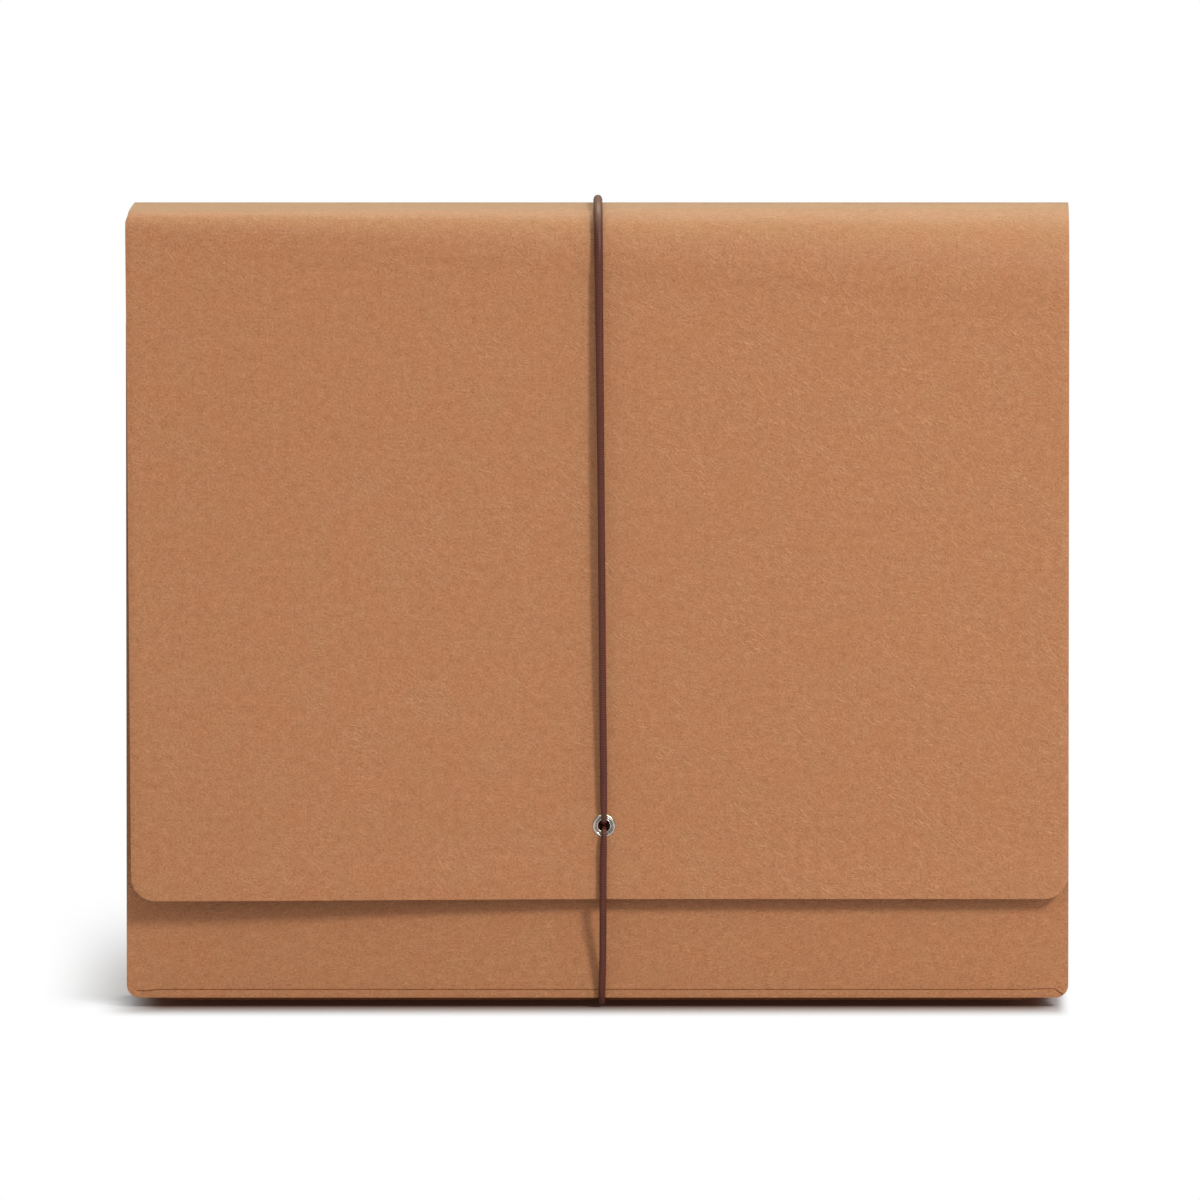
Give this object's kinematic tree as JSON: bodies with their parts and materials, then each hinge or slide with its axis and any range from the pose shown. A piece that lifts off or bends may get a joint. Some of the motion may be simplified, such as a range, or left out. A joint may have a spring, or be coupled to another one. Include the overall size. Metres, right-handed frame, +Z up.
{
  "type": "accordion file folder",
  "caption": "Expanding file with pleated gusset pockets, tabbed dividers and a wrap-over flap held shut by an elastic cord through a metal eyelet.",
  "frame": {"origin": "middle of the bottom, on the surface that the file stands on", "axes": "+X across the file, -Y towards the flap side, +Z up"},
  "size_m": [0.305, 0.046, 0.2622],
  "materials": {
    "cover": "matt grained fibre board",
    "gusset": "matt fibre board, thin",
    "divider": "matt kraft paper",
    "elastic": "braided elastic",
    "eyelet": "bright nickel plate"
  },
  "bodies": {
    "back": {"back_panel": "cover", "back_lining": "gusset", "elastic_back": "elastic"},
    "front": {"front_panel": "cover", "front_lining": "gusset"},
    "flap_top": {"flap_spine": "cover", "elastic_top": "elastic"},
    "flap_shoulder": {"flap_shoulder": "cover"},
    "flap_leaf": {"flap_leaf": "cover", "eyelet": "eyelet", "elastic_front": "elastic"},
    "divider_1": {"divider_1": "divider"},
    "divider_2": {"divider_2": "divider"},
    "divider_3": {"divider_3": "divider"},
    "divider_4": {"divider_4": "divider"},
    "left_pleat_1_rear": {"left_pleat_1_rear": "gusset"},
    "left_pleat_1_front": {"left_pleat_1_front": "gusset"},
    "right_pleat_1_rear": {"right_pleat_1_rear": "gusset"},
    "right_pleat_1_front": {"right_pleat_1_front": "gusset"},
    "bottom_pleat_1_rear": {"bottom_pleat_1_rear": "gusset"},
    "bottom_pleat_1_front": {"bottom_pleat_1_front": "gusset"},
    "left_pleat_2_rear": {"left_pleat_2_rear": "gusset"},
    "left_pleat_2_front": {"left_pleat_2_front": "gusset"},
    "right_pleat_2_rear": {"right_pleat_2_rear": "gusset"},
    "right_pleat_2_front": {"right_pleat_2_front": "gusset"},
    "bottom_pleat_2_rear": {"bottom_pleat_2_rear": "gusset"},
    "bottom_pleat_2_front": {"bottom_pleat_2_front": "gusset"},
    "left_pleat_3_rear": {"left_pleat_3_rear": "gusset"},
    "left_pleat_3_front": {"left_pleat_3_front": "gusset"},
    "right_pleat_3_rear": {"right_pleat_3_rear": "gusset"},
    "right_pleat_3_front": {"right_pleat_3_front": "gusset"},
    "bottom_pleat_3_rear": {"bottom_pleat_3_rear": "gusset"},
    "bottom_pleat_3_front": {"bottom_pleat_3_front": "gusset"},
    "left_pleat_4_rear": {"left_pleat_4_rear": "gusset"},
    "left_pleat_4_front": {"left_pleat_4_front": "gusset"},
    "right_pleat_4_rear": {"right_pleat_4_rear": "gusset"},
    "right_pleat_4_front": {"right_pleat_4_front": "gusset"},
    "bottom_pleat_4_rear": {"bottom_pleat_4_rear": "gusset"},
    "bottom_pleat_4_front": {"bottom_pleat_4_front": "gusset"},
    "left_pleat_5_rear": {"left_pleat_5_rear": "gusset"},
    "left_pleat_5_front": {"left_pleat_5_front": "gusset"},
    "right_pleat_5_rear": {"right_pleat_5_rear": "gusset"},
    "right_pleat_5_front": {"right_pleat_5_front": "gusset"},
    "bottom_pleat_5_rear": {"bottom_pleat_5_rear": "gusset"},
    "bottom_pleat_5_front": {"bottom_pleat_5_front": "gusset"}
  },
  "joints": [
    {"name": "expand", "type": "slide", "parent": "back", "child": "front", "axis": [0, -1, 0], "range_m": [0, 0.041], "deforming": ["elastic_front", "elastic_top", "elastic_back", "flap_spine"]},
    {"name": "flap_fold", "type": "hinge", "parent": "back", "child": "flap_top", "pos_m": [0, 0.01879, 0.25801], "axis": [-1, 0, 0], "range_deg": [0, 150], "deforming": ["elastic_front", "elastic_top", "elastic_back"]},
    {"name": "flap_slack", "type": "slide", "parent": "flap_top", "child": "flap_shoulder", "axis": [0, -1, 0], "range_m": [0, 0.041]},
    {"name": "flap_crease", "type": "hinge", "parent": "flap_shoulder", "child": "flap_leaf", "pos_m": [0, -0.01628, 0.25626], "axis": [-1, 0, 0], "range_deg": [0, 90.5]},
    {"name": "divider_1_slide", "type": "slide", "parent": "back", "child": "divider_1", "axis": [0, -1, 0], "range_m": [0, 0.0082]},
    {"name": "divider_2_slide", "type": "slide", "parent": "back", "child": "divider_2", "axis": [0, -1, 0], "range_m": [0, 0.0164]},
    {"name": "divider_3_slide", "type": "slide", "parent": "back", "child": "divider_3", "axis": [0, -1, 0], "range_m": [0, 0.0246]},
    {"name": "divider_4_slide", "type": "slide", "parent": "back", "child": "divider_4", "axis": [0, -1, 0], "range_m": [0, 0.0328]},
    {"name": "left_pleat_1_rear_hinge", "type": "hinge", "parent": "back", "child": "left_pleat_1_rear", "pos_m": [-0.1516, 0.01878, 0], "axis": [0, 0, -1], "range_deg": [0, 20.6]},
    {"name": "left_pleat_1_front_hinge", "type": "hinge", "parent": "divider_1", "child": "left_pleat_1_front", "pos_m": [-0.1516, 0.01358, 0], "axis": [0, 0, 1], "range_deg": [0, 20.6]},
    {"name": "right_pleat_1_rear_hinge", "type": "hinge", "parent": "back", "child": "right_pleat_1_rear", "pos_m": [0.1516, 0.01878, 0], "axis": [0, 0, 1], "range_deg": [0, 20.6]},
    {"name": "right_pleat_1_front_hinge", "type": "hinge", "parent": "divider_1", "child": "right_pleat_1_front", "pos_m": [0.1516, 0.01358, 0], "axis": [0, 0, -1], "range_deg": [0, 20.6]},
    {"name": "bottom_pleat_1_rear_hinge", "type": "hinge", "parent": "back", "child": "bottom_pleat_1_rear", "pos_m": [0, 0.01878, 0.0051], "axis": [1, 0, 0], "range_deg": [0, 20.6]},
    {"name": "bottom_pleat_1_front_hinge", "type": "hinge", "parent": "divider_1", "child": "bottom_pleat_1_front", "pos_m": [0, 0.01358, 0.0051], "axis": [-1, 0, 0], "range_deg": [0, 20.6]},
    {"name": "left_pleat_2_rear_hinge", "type": "hinge", "parent": "divider_1", "child": "left_pleat_2_rear", "pos_m": [-0.1516, 0.01218, 0], "axis": [0, 0, -1], "range_deg": [0, 20.6]},
    {"name": "left_pleat_2_front_hinge", "type": "hinge", "parent": "divider_2", "child": "left_pleat_2_front", "pos_m": [-0.1516, 0.00698, 0], "axis": [0, 0, 1], "range_deg": [0, 20.6]},
    {"name": "right_pleat_2_rear_hinge", "type": "hinge", "parent": "divider_1", "child": "right_pleat_2_rear", "pos_m": [0.1516, 0.01218, 0], "axis": [0, 0, 1], "range_deg": [0, 20.6]},
    {"name": "right_pleat_2_front_hinge", "type": "hinge", "parent": "divider_2", "child": "right_pleat_2_front", "pos_m": [0.1516, 0.00698, 0], "axis": [0, 0, -1], "range_deg": [0, 20.6]},
    {"name": "bottom_pleat_2_rear_hinge", "type": "hinge", "parent": "divider_1", "child": "bottom_pleat_2_rear", "pos_m": [0, 0.01218, 0.0051], "axis": [1, 0, 0], "range_deg": [0, 20.6]},
    {"name": "bottom_pleat_2_front_hinge", "type": "hinge", "parent": "divider_2", "child": "bottom_pleat_2_front", "pos_m": [0, 0.00698, 0.0051], "axis": [-1, 0, 0], "range_deg": [0, 20.6]},
    {"name": "left_pleat_3_rear_hinge", "type": "hinge", "parent": "divider_2", "child": "left_pleat_3_rear", "pos_m": [-0.1516, 0.00558, 0], "axis": [0, 0, -1], "range_deg": [0, 20.6]},
    {"name": "left_pleat_3_front_hinge", "type": "hinge", "parent": "divider_3", "child": "left_pleat_3_front", "pos_m": [-0.1516, 0.00038, 0], "axis": [0, 0, 1], "range_deg": [0, 20.6]},
    {"name": "right_pleat_3_rear_hinge", "type": "hinge", "parent": "divider_2", "child": "right_pleat_3_rear", "pos_m": [0.1516, 0.00558, 0], "axis": [0, 0, 1], "range_deg": [0, 20.6]},
    {"name": "right_pleat_3_front_hinge", "type": "hinge", "parent": "divider_3", "child": "right_pleat_3_front", "pos_m": [0.1516, 0.00038, 0], "axis": [0, 0, -1], "range_deg": [0, 20.6]},
    {"name": "bottom_pleat_3_rear_hinge", "type": "hinge", "parent": "divider_2", "child": "bottom_pleat_3_rear", "pos_m": [0, 0.00558, 0.0051], "axis": [1, 0, 0], "range_deg": [0, 20.6]},
    {"name": "bottom_pleat_3_front_hinge", "type": "hinge", "parent": "divider_3", "child": "bottom_pleat_3_front", "pos_m": [0, 0.00038, 0.0051], "axis": [-1, 0, 0], "range_deg": [0, 20.6]},
    {"name": "left_pleat_4_rear_hinge", "type": "hinge", "parent": "divider_3", "child": "left_pleat_4_rear", "pos_m": [-0.1516, -0.00103, 0], "axis": [0, 0, -1], "range_deg": [0, 20.6]},
    {"name": "left_pleat_4_front_hinge", "type": "hinge", "parent": "divider_4", "child": "left_pleat_4_front", "pos_m": [-0.1516, -0.00622, 0], "axis": [0, 0, 1], "range_deg": [0, 20.6]},
    {"name": "right_pleat_4_rear_hinge", "type": "hinge", "parent": "divider_3", "child": "right_pleat_4_rear", "pos_m": [0.1516, -0.00103, 0], "axis": [0, 0, 1], "range_deg": [0, 20.6]},
    {"name": "right_pleat_4_front_hinge", "type": "hinge", "parent": "divider_4", "child": "right_pleat_4_front", "pos_m": [0.1516, -0.00622, 0], "axis": [0, 0, -1], "range_deg": [0, 20.6]},
    {"name": "bottom_pleat_4_rear_hinge", "type": "hinge", "parent": "divider_3", "child": "bottom_pleat_4_rear", "pos_m": [0, -0.00103, 0.0051], "axis": [1, 0, 0], "range_deg": [0, 20.6]},
    {"name": "bottom_pleat_4_front_hinge", "type": "hinge", "parent": "divider_4", "child": "bottom_pleat_4_front", "pos_m": [0, -0.00622, 0.0051], "axis": [-1, 0, 0], "range_deg": [0, 20.6]},
    {"name": "left_pleat_5_rear_hinge", "type": "hinge", "parent": "divider_4", "child": "left_pleat_5_rear", "pos_m": [-0.1516, -0.00762, 0], "axis": [0, 0, -1], "range_deg": [0, 20.6]},
    {"name": "left_pleat_5_front_hinge", "type": "hinge", "parent": "front", "child": "left_pleat_5_front", "pos_m": [-0.1516, -0.01282, 0], "axis": [0, 0, 1], "range_deg": [0, 20.6]},
    {"name": "right_pleat_5_rear_hinge", "type": "hinge", "parent": "divider_4", "child": "right_pleat_5_rear", "pos_m": [0.1516, -0.00762, 0], "axis": [0, 0, 1], "range_deg": [0, 20.6]},
    {"name": "right_pleat_5_front_hinge", "type": "hinge", "parent": "front", "child": "right_pleat_5_front", "pos_m": [0.1516, -0.01282, 0], "axis": [0, 0, -1], "range_deg": [0, 20.6]},
    {"name": "bottom_pleat_5_rear_hinge", "type": "hinge", "parent": "divider_4", "child": "bottom_pleat_5_rear", "pos_m": [0, -0.00762, 0.0051], "axis": [1, 0, 0], "range_deg": [0, 20.6]},
    {"name": "bottom_pleat_5_front_hinge", "type": "hinge", "parent": "front", "child": "bottom_pleat_5_front", "pos_m": [0, -0.01282, 0.0051], "axis": [-1, 0, 0], "range_deg": [0, 20.6]}
  ],
  "couplings": [
    {"joint": "flap_slack", "follows": "expand", "ratio": 1},
    {"joint": "flap_crease", "follows": "flap_fold", "ratio": 0.6},
    {"joint": "divider_1_slide", "follows": "expand", "ratio": 0.2},
    {"joint": "divider_2_slide", "follows": "expand", "ratio": 0.4},
    {"joint": "divider_3_slide", "follows": "expand", "ratio": 0.6},
    {"joint": "divider_4_slide", "follows": "expand", "ratio": 0.8},
    {"joint": "left_pleat_1_rear_hinge", "follows": "expand", "rad_per_m": 8.7266},
    {"joint": "left_pleat_1_front_hinge", "follows": "expand", "rad_per_m": 8.7266},
    {"joint": "right_pleat_1_rear_hinge", "follows": "expand", "rad_per_m": 8.7266},
    {"joint": "right_pleat_1_front_hinge", "follows": "expand", "rad_per_m": 8.7266},
    {"joint": "bottom_pleat_1_rear_hinge", "follows": "expand", "rad_per_m": 8.7266},
    {"joint": "bottom_pleat_1_front_hinge", "follows": "expand", "rad_per_m": 8.7266},
    {"joint": "left_pleat_2_rear_hinge", "follows": "expand", "rad_per_m": 8.7266},
    {"joint": "left_pleat_2_front_hinge", "follows": "expand", "rad_per_m": 8.7266},
    {"joint": "right_pleat_2_rear_hinge", "follows": "expand", "rad_per_m": 8.7266},
    {"joint": "right_pleat_2_front_hinge", "follows": "expand", "rad_per_m": 8.7266},
    {"joint": "bottom_pleat_2_rear_hinge", "follows": "expand", "rad_per_m": 8.7266},
    {"joint": "bottom_pleat_2_front_hinge", "follows": "expand", "rad_per_m": 8.7266},
    {"joint": "left_pleat_3_rear_hinge", "follows": "expand", "rad_per_m": 8.7266},
    {"joint": "left_pleat_3_front_hinge", "follows": "expand", "rad_per_m": 8.7266},
    {"joint": "right_pleat_3_rear_hinge", "follows": "expand", "rad_per_m": 8.7266},
    {"joint": "right_pleat_3_front_hinge", "follows": "expand", "rad_per_m": 8.7266},
    {"joint": "bottom_pleat_3_rear_hinge", "follows": "expand", "rad_per_m": 8.7266},
    {"joint": "bottom_pleat_3_front_hinge", "follows": "expand", "rad_per_m": 8.7266},
    {"joint": "left_pleat_4_rear_hinge", "follows": "expand", "rad_per_m": 8.7266},
    {"joint": "left_pleat_4_front_hinge", "follows": "expand", "rad_per_m": 8.7266},
    {"joint": "right_pleat_4_rear_hinge", "follows": "expand", "rad_per_m": 8.7266},
    {"joint": "right_pleat_4_front_hinge", "follows": "expand", "rad_per_m": 8.7266},
    {"joint": "bottom_pleat_4_rear_hinge", "follows": "expand", "rad_per_m": 8.7266},
    {"joint": "bottom_pleat_4_front_hinge", "follows": "expand", "rad_per_m": 8.7266},
    {"joint": "left_pleat_5_rear_hinge", "follows": "expand", "rad_per_m": 8.7266},
    {"joint": "left_pleat_5_front_hinge", "follows": "expand", "rad_per_m": 8.7266},
    {"joint": "right_pleat_5_rear_hinge", "follows": "expand", "rad_per_m": 8.7266},
    {"joint": "right_pleat_5_front_hinge", "follows": "expand", "rad_per_m": 8.7266},
    {"joint": "bottom_pleat_5_rear_hinge", "follows": "expand", "rad_per_m": 8.7266},
    {"joint": "bottom_pleat_5_front_hinge", "follows": "expand", "rad_per_m": 8.7266}
  ]
}
